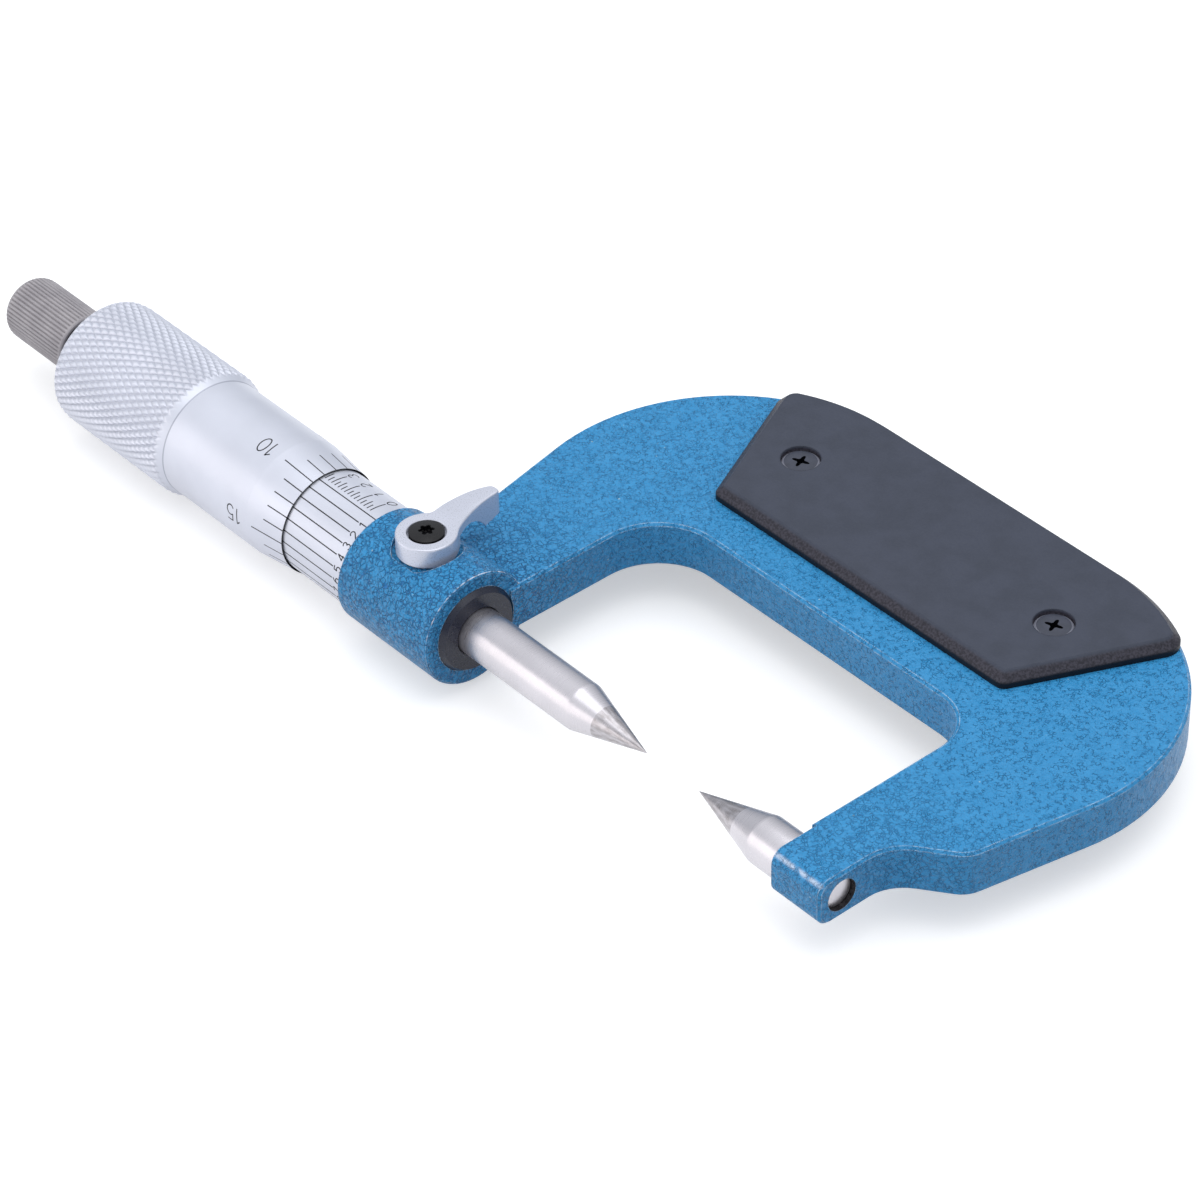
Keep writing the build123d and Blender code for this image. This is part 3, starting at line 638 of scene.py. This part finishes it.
def anvilPath():
    # cone, shank and shoulder, then the stem with its bevelled end
    shoulder, end, stemR = pin["shoulderX"], pin["stemX"], pin["stemR"]
    front = softPath([(0.0, pin["tipR"]), (-pin["cone"], axis["pinR"], pin["blend"]),
                      (shoulder, axis["pinR"], 0.1), (shoulder, stemR)])
    stem = softPath([(shoulder - 0.01, stemR), (end, stemR, 0.2), (end, 0.3)])
    return np.concatenate([np.array([[0.0, 0.0]]), front, stem, np.array([[end, 0.0]])])


place(turnedPiece("groundSpindle", spindlePath(), 160), "ground_steel", "thimble_body", ["spindle"])
place(turnedPiece("groundAnvil", anvilPath(), 128), "ground_steel", "frame_body", ["anvil"])
print("pins made")

# lock lever: a disc and a blade with rounded top edges, and an arch under the blade that leaves a foot, in mm
lever = {
    "x": 49.05, "discR": 3.86, "z0": 7.1, "z1": 9.8, "length": 11.9, "rootR": 3.66, "rootIn": 50.0,
    "rootOut": 43.0, "cornerRun": 0.5, "holeBevel": 0.08, "softenMore": 0.12, "softenFrom": 3.0, "softenRun": 7.0,
    "midIn": (-0.655, -6.4), "midOut": (3.075, -7.2), "tipIn": (0.345, -11.9), "tipOut": (1.895, -11.9),
    "archZ": 8.45, "archStart": 5.0, "archMid": (7.5, 7.6), "heel": (9.22, 5.8), "toeZ": 6.5,
    "holeR": 2.42, "sinkZ": 9.15, "boreR": 1.12, "studR": 2.07, "studZ": 8.3, "soften": 0.24, "points": 560,
}


def circleThrough(a, b, c):
    # centre and radius of the circle through three points
    a, b, c = (np.array(p, float) for p in (a, b, c))
    rows = 2 * np.array([b - a, c - a])
    centre = np.linalg.solve(rows, [b @ b - a @ a, c @ c - a @ a])
    return centre, np.linalg.norm(a - centre)


def arcThrough(a, b, c, steps=60):
    # points of the arc from a through b to c
    centre, r = circleThrough(a, b, c)
    start, end = (np.arctan2(p[1] - centre[1], p[0] - centre[0]) for p in (a, c))
    full = (end - start + np.pi) % (2 * np.pi) - np.pi
    t = start + full * np.linspace(0, 1, steps)
    return np.stack([centre[0] + r * np.cos(t), centre[1] + r * np.sin(t)], -1)


def evenLoop(points, count):
    # the same closed outline with evenly spaced points
    closed = np.concatenate([points, points[:1]])
    run = np.concatenate([[0], np.cumsum(np.linalg.norm(np.diff(closed, axis=0), axis=1))])
    where = np.linspace(0, run[-1], count, endpoint=False)
    return np.stack([np.interp(where, run, closed[:, k]) for k in (0, 1)], -1), run[-1] / count


def leverOutline():
    # blade arcs and the disc in one loop, then a running mean along it rounds the corners
    rootIn, rootOut = (
        np.array([side * lever["rootR"] * np.sin(radians(turn)), -lever["rootR"] * np.cos(radians(turn))])
        for side, turn in ((-1, lever["rootIn"]), (1, lever["rootOut"])))
    inner = arcThrough(rootIn, lever["midIn"], lever["tipIn"])
    outer = arcThrough(lever["tipOut"], lever["midOut"], rootOut)
    inner, outer = (side[np.linalg.norm(side, axis=1) > lever["discR"]] for side in (inner, outer))
    start, end = (np.arctan2(p[1], p[0]) for p in (outer[-1], inner[0]))
    turn = np.linspace(start, end + 2 * np.pi, 160)
    disc = lever["discR"] * np.stack([np.cos(turn), np.sin(turn)], -1)
    loop, step = evenLoop(np.concatenate([inner, outer, disc]), lever["points"])
    reach = int(round(lever["cornerRun"] / step))
    for _ in range(2):
        loop = np.mean([np.roll(loop, k, axis=0) for k in range(-reach, reach + 1)], axis=0)
    return loop


def bladeUnderZ(y):
    # height of the blade's underside along its length: level, then down the arch to the heel, then up to the toe
    s = -y
    centre, r = circleThrough((lever["archStart"], lever["archZ"]), lever["archMid"], lever["heel"])
    arch = centre[1] + np.sqrt(np.maximum(r ** 2 - (s - centre[0]) ** 2, 0))
    sole = np.interp(s, [lever["heel"][0], lever["length"]], [lever["heel"][1], lever["toeZ"]])
    return np.where(s < lever["archStart"], lever["archZ"], np.where(s < lever["heel"][0], arch, sole))


def softLever():
    # closed rings of points, from the screw's hole over the top, down the wall and back under the blade
    loop = leverOutline()
    ahead = np.roll(loop, -1, axis=0) - np.roll(loop, 1, axis=0)
    normal = np.stack([ahead[:, 1], -ahead[:, 0]], -1) / np.linalg.norm(ahead, axis=1)[:, None]
    spoke = loop / np.linalg.norm(loop, axis=1)[:, None]
    onBlade = np.linalg.norm(loop, axis=1) > lever["discR"] + 0.15
    under = np.where(onBlade, bladeUnderZ(loop[:, 1]), lever["z0"])
    alongBlade = np.clip((-loop[:, 1] - lever["softenFrom"]) / lever["softenRun"], 0, 1)
    soften = lever["soften"] + lever["softenMore"] * np.sin(np.pi * alongBlade) ** 2
    rings = []

    def ring(flat, z):
        rings.append(np.concatenate([flat, np.broadcast_to(np.asarray(z, float), len(flat))[:, None]], 1))

    for r, z in (("studR", "z0"), ("studR", "studZ"), ("boreR", "studZ"), ("boreR", "sinkZ"), ("holeR", "sinkZ")):
        ring(spoke * lever[r], lever[z])
    ring(spoke * lever["holeR"], lever["z1"] - lever["holeBevel"])
    ring(spoke * (lever["holeR"] + lever["holeBevel"]), lever["z1"])
    for turn in np.linspace(0, np.pi / 2, 9):
        ring(loop - normal * (soften * (1 - np.sin(turn)))[:, None], lever["z1"] - soften * (1 - np.cos(turn)))
    for share in (0.35, 0.7, 0.93):
        ring(loop, lever["z1"] - soften + (under + 0.12 - lever["z1"] + soften) * share)
    ring(loop, under + 0.1)
    ring(loop - normal * 0.1, under)
    inside = np.maximum(np.linalg.norm(loop, axis=1) - 0.15, lever["discR"] - 0.1)
    for share in np.linspace(0.92, 0.0, 14):
        reach = (lever["discR"] - 0.1) + (inside - lever["discR"] + 0.1) * share
        flat = spoke * reach[:, None]
        ring(flat, np.where(onBlade, np.minimum(bladeUnderZ(flat[:, 1]), lever["z1"] - 0.6), lever["z0"]))
    ring(spoke * (lever["discR"] - 0.12), lever["z0"])
    points = np.concatenate(rings)
    points[:, 0] += lever["x"]
    return addMesh("softLever", points, gridFaces(len(rings), len(loop), wrapRows=True, wrapCols=True))


place(softLever(), "lever_chrome", "lever_body", ["lock_lever"])
print("lever made")


def crossHead(centre, side):
    # rings round the screw's axis; the recess's rim is r = in + (out - in) * |cos(2 angle)| ^ 4
    p = plateScrew
    angle = np.linspace(0, 2 * np.pi, p["cols"], endpoint=False)
    star = np.abs(np.cos(2 * (angle - radians(p["turn"])))) ** 4
    rim = p["crossIn"] + (p["crossOut"] - p["crossIn"]) * star
    full = np.ones_like(angle)
    top, r, seat, tipZ = p["topZ"], p["headR"], p["floorZ"] + 0.01, p["floorZ"] - p["bite"]
    rings = [
        (full * 0, top - p["crossDepth"]), (rim * 0.45, top - p["crossDepth"]), (rim * 0.93, top - 0.06),
        (rim, top), (rim + 0.12, top), (full * (r - p["bevel"] - 0.05), top), (full * (r - p["bevel"]), top - 0.01),
        (full * (r - 0.05), top - p["drop"]), (full * r, top - p["drop"] - 0.04), (full * r, seat),
        (full * p["shankR"], seat), (full * p["shankR"], tipZ), (full * 0, tipZ)]
    points = [np.stack([centre[0] + rr * np.cos(angle), centre[1] + rr * np.sin(angle), side * z * full], -1)
              for rr, z in rings]
    return np.concatenate(points), gridFaces(len(rings), len(angle), wrapCols=True)


def screwPair(name, side):
    heads = [crossHead((plateScrew["x"] + step * plateScrew["dx"], plateScrew["y"]), side) for step in (-1, 1)]
    faces = np.concatenate([heads[0][1], heads[1][1] + len(heads[0][0])])
    return addMesh(name, np.concatenate([head[0] for head in heads]), faces)


for name, side in (("front_plate_screws", 1), ("back_plate_screws", -1)):
    heads = screwPair(name.replace("plate_screws", "CrossHeads"), side)
    place(heads, "screw_black", "frame_body", [name])
print("plate screws made")


# scales: thin strokes laid on the turned surfaces
def strokes(name, paths, width, surface, body="frame_body", lift=0.010, sink=0.02):
    # each path is (x, angle in degrees) points; its band is width wide, square to the path,
    # from sink below to lift above the surface
    points, faces, start = [], [], 0
    for path in paths:
        path = np.asarray(path, float)
        r = surface(path[:, 0])
        flat = np.stack([path[:, 0], np.radians(path[:, 1]) * r], -1)
        along = np.gradient(flat, axis=0)
        along /= np.linalg.norm(along, axis=1)[:, None]
        side = np.stack([-along[:, 1], along[:, 0]], -1) * width / 2
        rings = []
        for sign, h in ((1, lift), (-1, lift), (-1, -sink), (1, -sink)):
            edge = flat + sign * side
            a, rr = edge[:, 1] / r, surface(edge[:, 0]) + h
            rings.append(np.stack([edge[:, 0], rr * np.cos(a), rr * np.sin(a)], -1))
        n = 4 * len(path)
        points.append(np.stack(rings, 1).reshape(-1, 3))
        ends = np.array([[3, 2, 1, 0], [n - 4, n - 3, n - 2, n - 1]]) + start
        faces += [gridFaces(len(path), 4, wrapCols=True, offset=start), ends]
        start += n
    return place(addMesh(name, np.concatenate(points), np.concatenate(faces)), "print", body)


def arc(cx, cy, rx, ry, a0, a1, steps=14):
    a = np.radians(np.linspace(a0, a1, steps))
    return np.stack([cx + rx * np.cos(a), cy + ry * np.sin(a)], -1)


def line(*corners):
    # straight strokes, with a point close to each corner so that the band keeps its width
    pts = np.array(corners, float)
    t = np.concatenate([[0.0, 0.04], np.linspace(0.16, 0.84, 5), [0.96, 1.0]])[:, None]
    return np.concatenate([pts[k] * (1 - t) + pts[k + 1] * t for k in range(len(pts) - 1)])


def joined(*parts):
    # one stroke from several
    return [np.concatenate(parts)]


# digits drawn with one pen in a box 0.6 wide and 1 high
digits = {
    "0": [arc(0.3, 0.5, 0.28, 0.5, 0, 360, 28)],
    "1": [line((0.12, 0.78), (0.36, 1.0), (0.36, 0.0))],
    "2": joined(arc(0.3, 0.72, 0.27, 0.28, 165, -30), line((0.5, 0.54), (0.03, 0.0)),
                line((0.03, 0.0), (0.58, 0.0))),
    "3": joined(arc(0.29, 0.76, 0.24, 0.24, 150, -75), arc(0.28, 0.27, 0.29, 0.27, 75, -150)),
    "4": [line((0.44, 0.0), (0.44, 1.0), (0.03, 0.3), (0.58, 0.3))],
    "5": joined(line((0.53, 1.0), (0.11, 1.0), (0.07, 0.55)), arc(0.28, 0.32, 0.28, 0.32, 130, -150)),
    "6": joined(arc(0.62, 0.32, 0.6, 0.72, 110, 175), arc(0.3, 0.3, 0.28, 0.3, 180, 540, 24)),
    "7": [line((0.03, 1.0), (0.57, 1.0), (0.2, 0.0))],
    "8": [arc(0.3, 0.76, 0.23, 0.24, -90, 270, 24), arc(0.3, 0.27, 0.28, 0.27, 90, 450, 24)],
    "9": joined(arc(-0.02, 0.68, 0.6, 0.72, -70, -5), arc(0.3, 0.7, 0.28, 0.3, 0, 360, 24)),
}


def word(text, height, x, angle, r, gap=0.2, upright=True):
    # strokes of a number centred at (x, angle): along X with its top towards smaller angles,
    # or round the sleeve with its top towards +X
    paths = []
    full = len(text) * 0.6 + (len(text) - 1) * gap
    for k, letter in enumerate(text):
        for stroke in digits[letter]:
            u = (stroke[:, 0] + k * (0.6 + gap) - full / 2) * height
            v = (stroke[:, 1] - 0.5) * height
            if upright:
                paths.append(np.stack([x + u, angle - np.degrees(v / r)], -1))
            else:
                paths.append(np.stack([x + v, angle + np.degrees(u / r)], -1))
    return paths


def sleeveSurface(x):
    return np.full(np.shape(x), axis["sleeveR"])


def thimbleSurface(x):
    # straight bevel from the edge up to the barrel
    t = np.clip((np.asarray(x) - axis["edgeX"]) / (axis["bevelX1"] - axis["edgeX"]), 0, 1)
    return axis["edgeR"] + t * (axis["barrelR"] - axis["edgeR"])


# sleeve scale: index and vernier lines along X, ticks round the sleeve from the zero line, in mm and degrees
scale = {
    "index": 82.6, "vernierStep": 12.96, "vernierX0": 59.3, "vernierX1": 87.0, "vernierLines": 10, "tick": 0.635,
    "ticks": 41, "tickStart": 87.8, "short": 95.9, "middle": 99.5, "long": 107.5, "numberAngle": 116.5,
    "numberHeight": 1.5, "vernierNumberX": 58.45, "vernierHeight": 1.2, "lineWidth": 0.15, "penWidth": 0.15,
}


def alongX(x0, x1, angle):
    return np.array([[x0, angle], [x1, angle]])


def sleeveTick(k):
    # every fourth tick is long and every second one middling
    end = scale["long"] if k % 4 == 0 else scale["middle"] if k % 2 == 0 else scale["short"]
    x = axis["zeroX"] + scale["tick"] * k
    return np.stack([np.full(8, x), np.linspace(scale["tickStart"], end, 8)], -1)


vernierAngles = [scale["index"] - scale["vernierStep"] * k for k in range(1, scale["vernierLines"] + 1)]
sleeveLines = [alongX(axis["hubX1"], scale["vernierX1"], scale["index"])]
sleeveLines += [alongX(scale["vernierX0"], scale["vernierX1"], angle) for angle in vernierAngles]
sleeveLines += [sleeveTick(k) for k in range(scale["ticks"])]
strokes("sleeveLines", sleeveLines, scale["lineWidth"], sleeveSurface)
sleeveNumbers = []
for k, angle in enumerate(vernierAngles, 1):
    sleeveNumbers += word(str(k % 10), scale["vernierHeight"], scale["vernierNumberX"], angle, axis["sleeveR"],
                          upright=False)
for k in range(0, scale["ticks"], 4):
    x = axis["zeroX"] + scale["tick"] * k
    sleeveNumbers += word(str(k // 4 % 10), scale["numberHeight"], x, scale["numberAngle"], axis["sleeveR"])
strokes("sleeveNumbers", sleeveNumbers, scale["penWidth"], sleeveSurface)

# thimble scale: 25 lines on the bevel and a number at every fifth, in mm and degrees
thimbleScale = {"count": 25, "zeroAt": 10, "zeroAngle": 74.8, "step": 14.4, "end": 72.38, "longEnd": 74.3,
                "start": 0.03, "numberX": 77.7, "height": 2.25, "gap": 0.05, "penWidth": 0.17}
thimbleLines = []
thimbleNumbers = []
for n in range(thimbleScale["count"]):
    a = thimbleScale["zeroAngle"] - thimbleScale["step"] * (n - thimbleScale["zeroAt"])
    end = thimbleScale["longEnd"] if n % 5 == 0 else thimbleScale["end"]
    thimbleLines.append(alongX(axis["edgeX"] + thimbleScale["start"], end, a))
    if n % 5 == 0:
        thimbleNumbers += word(str(n), thimbleScale["height"], thimbleScale["numberX"], a, axis["barrelR"],
                               thimbleScale["gap"])
strokes("thimbleLines", thimbleLines, scale["lineWidth"], thimbleSurface, "thimble_body")
strokes("thimbleNumbers", thimbleNumbers, thimbleScale["penWidth"], thimbleSurface, "thimble_body")
print("scales made")

# floor: pale, and whiter where the camera, a reflection or a clear piece sees it; z in metres, half its side in mm
floorPlan = {"z": -0.0092, "half": 2500, "unseen": (0.37, 0.38, 0.41, 1.0), "seen": (0.72, 0.72, 0.72, 1.0),
             "glow": 0.46}
corners = [[sx * floorPlan["half"], sy * floorPlan["half"], 0] for sx, sy in ((-1, -1), (1, -1), (1, 1), (-1, 1))]
floor = addMesh("floor", corners, [[0, 1, 2, 3]], smooth=False, merge=False)
floor.location = (0, 0, floorPlan["z"])
floorLook, floorTree, floorShader = newMaterial("paleFloor")
lightPath = addNode(floorTree, "ShaderNodeLightPath")
seen = calc(floorTree, "MAXIMUM", lightPath.outputs["Is Camera Ray"], lightPath.outputs["Is Glossy Ray"])
seen = calc(floorTree, "MAXIMUM", seen, lightPath.outputs["Is Transmission Ray"])
floorColor = mixColor(floorTree, seen, floorPlan["unseen"], floorPlan["seen"])
floorTree.links.new(floorColor, floorShader.inputs["Base Color"])
floorShader.inputs["Emission Color"].default_value = (1.0, 1.0, 1.0, 1.0)
floorTree.links.new(times(floorTree, seen, floorPlan["glow"]), floorShader.inputs["Emission Strength"])
floorShader.inputs["Roughness"].default_value = 0.9
floorShader.inputs["Specular IOR Level"].default_value = 0.1
floor.data.materials.append(floorLook)

# sky: greyer at the horizon than overhead
sky = {"low": (0.40, 0.43, 0.48, 1.0), "high": (1.02, 1.04, 1.08, 1.0), "from": -0.05, "to": 0.95}
world = bpy.data.worlds.new("studio")
bpy.context.scene.world = world
world.use_nodes = True
worldTree = world.node_tree
skyCoords = addNode(worldTree, "ShaderNodeTexCoord").outputs["Generated"]
rise = mapRange(worldTree, splitCoords(worldTree, skyCoords)[2], sky["from"], sky["to"])
skyColor = mixColor(worldTree, rise, sky["low"], sky["high"])
worldTree.links.new(skyColor, worldTree.nodes["Background"].inputs["Color"])

# two soft lights aimed at the object, in metres and watts
lightTarget = Vector((0.045, -0.01, 0.0))
studioLights = {
    "keyLight": {"spot": (0.25, 0.5, 0.14), "size": (0.7, 0.4), "power": 1.25, "tint": (1.0, 0.94, 0.9)},
    "topLight": {"spot": (-0.05, -0.05, 0.75), "size": (0.7, 0.7), "power": 1.9, "tint": (1.0, 1.0, 1.0)},
}
for name, plan in studioLights.items():
    data = bpy.data.lights.new(name, "AREA")
    data.shape = "RECTANGLE"
    data.size, data.size_y = plan["size"]
    data.energy, data.color = plan["power"], plan["tint"]
    light = bpy.data.objects.new(name, data)
    light.location = plan["spot"]
    light.rotation_euler = (Vector(plan["spot"]) - lightTarget).to_track_quat("Z", "Y").to_euler()
    bpy.context.collection.objects.link(light)

# camera: place in metres, turn in degrees, and the fitted focal length in the photograph's pixels
view = {"spot": (-0.294638, 0.261838, 0.341212), "turn": (51.5508, 1.0924, -130.9097),
        "focalPixels": 4524.5, "imagePixels": 1200, "sensor": 36.0}
cameraData = bpy.data.cameras.new("camera")
cameraData.sensor_width = view["sensor"]
cameraData.lens = view["focalPixels"] * view["sensor"] / view["imagePixels"]
camera = bpy.data.objects.new("camera", cameraData)
camera.location = view["spot"]
camera.rotation_euler = Euler([radians(a) for a in view["turn"]], "XYZ")
bpy.context.collection.objects.link(camera)
bpy.context.scene.camera = camera
bpy.context.scene.view_settings.view_transform = "Standard"
print("light and camera set")
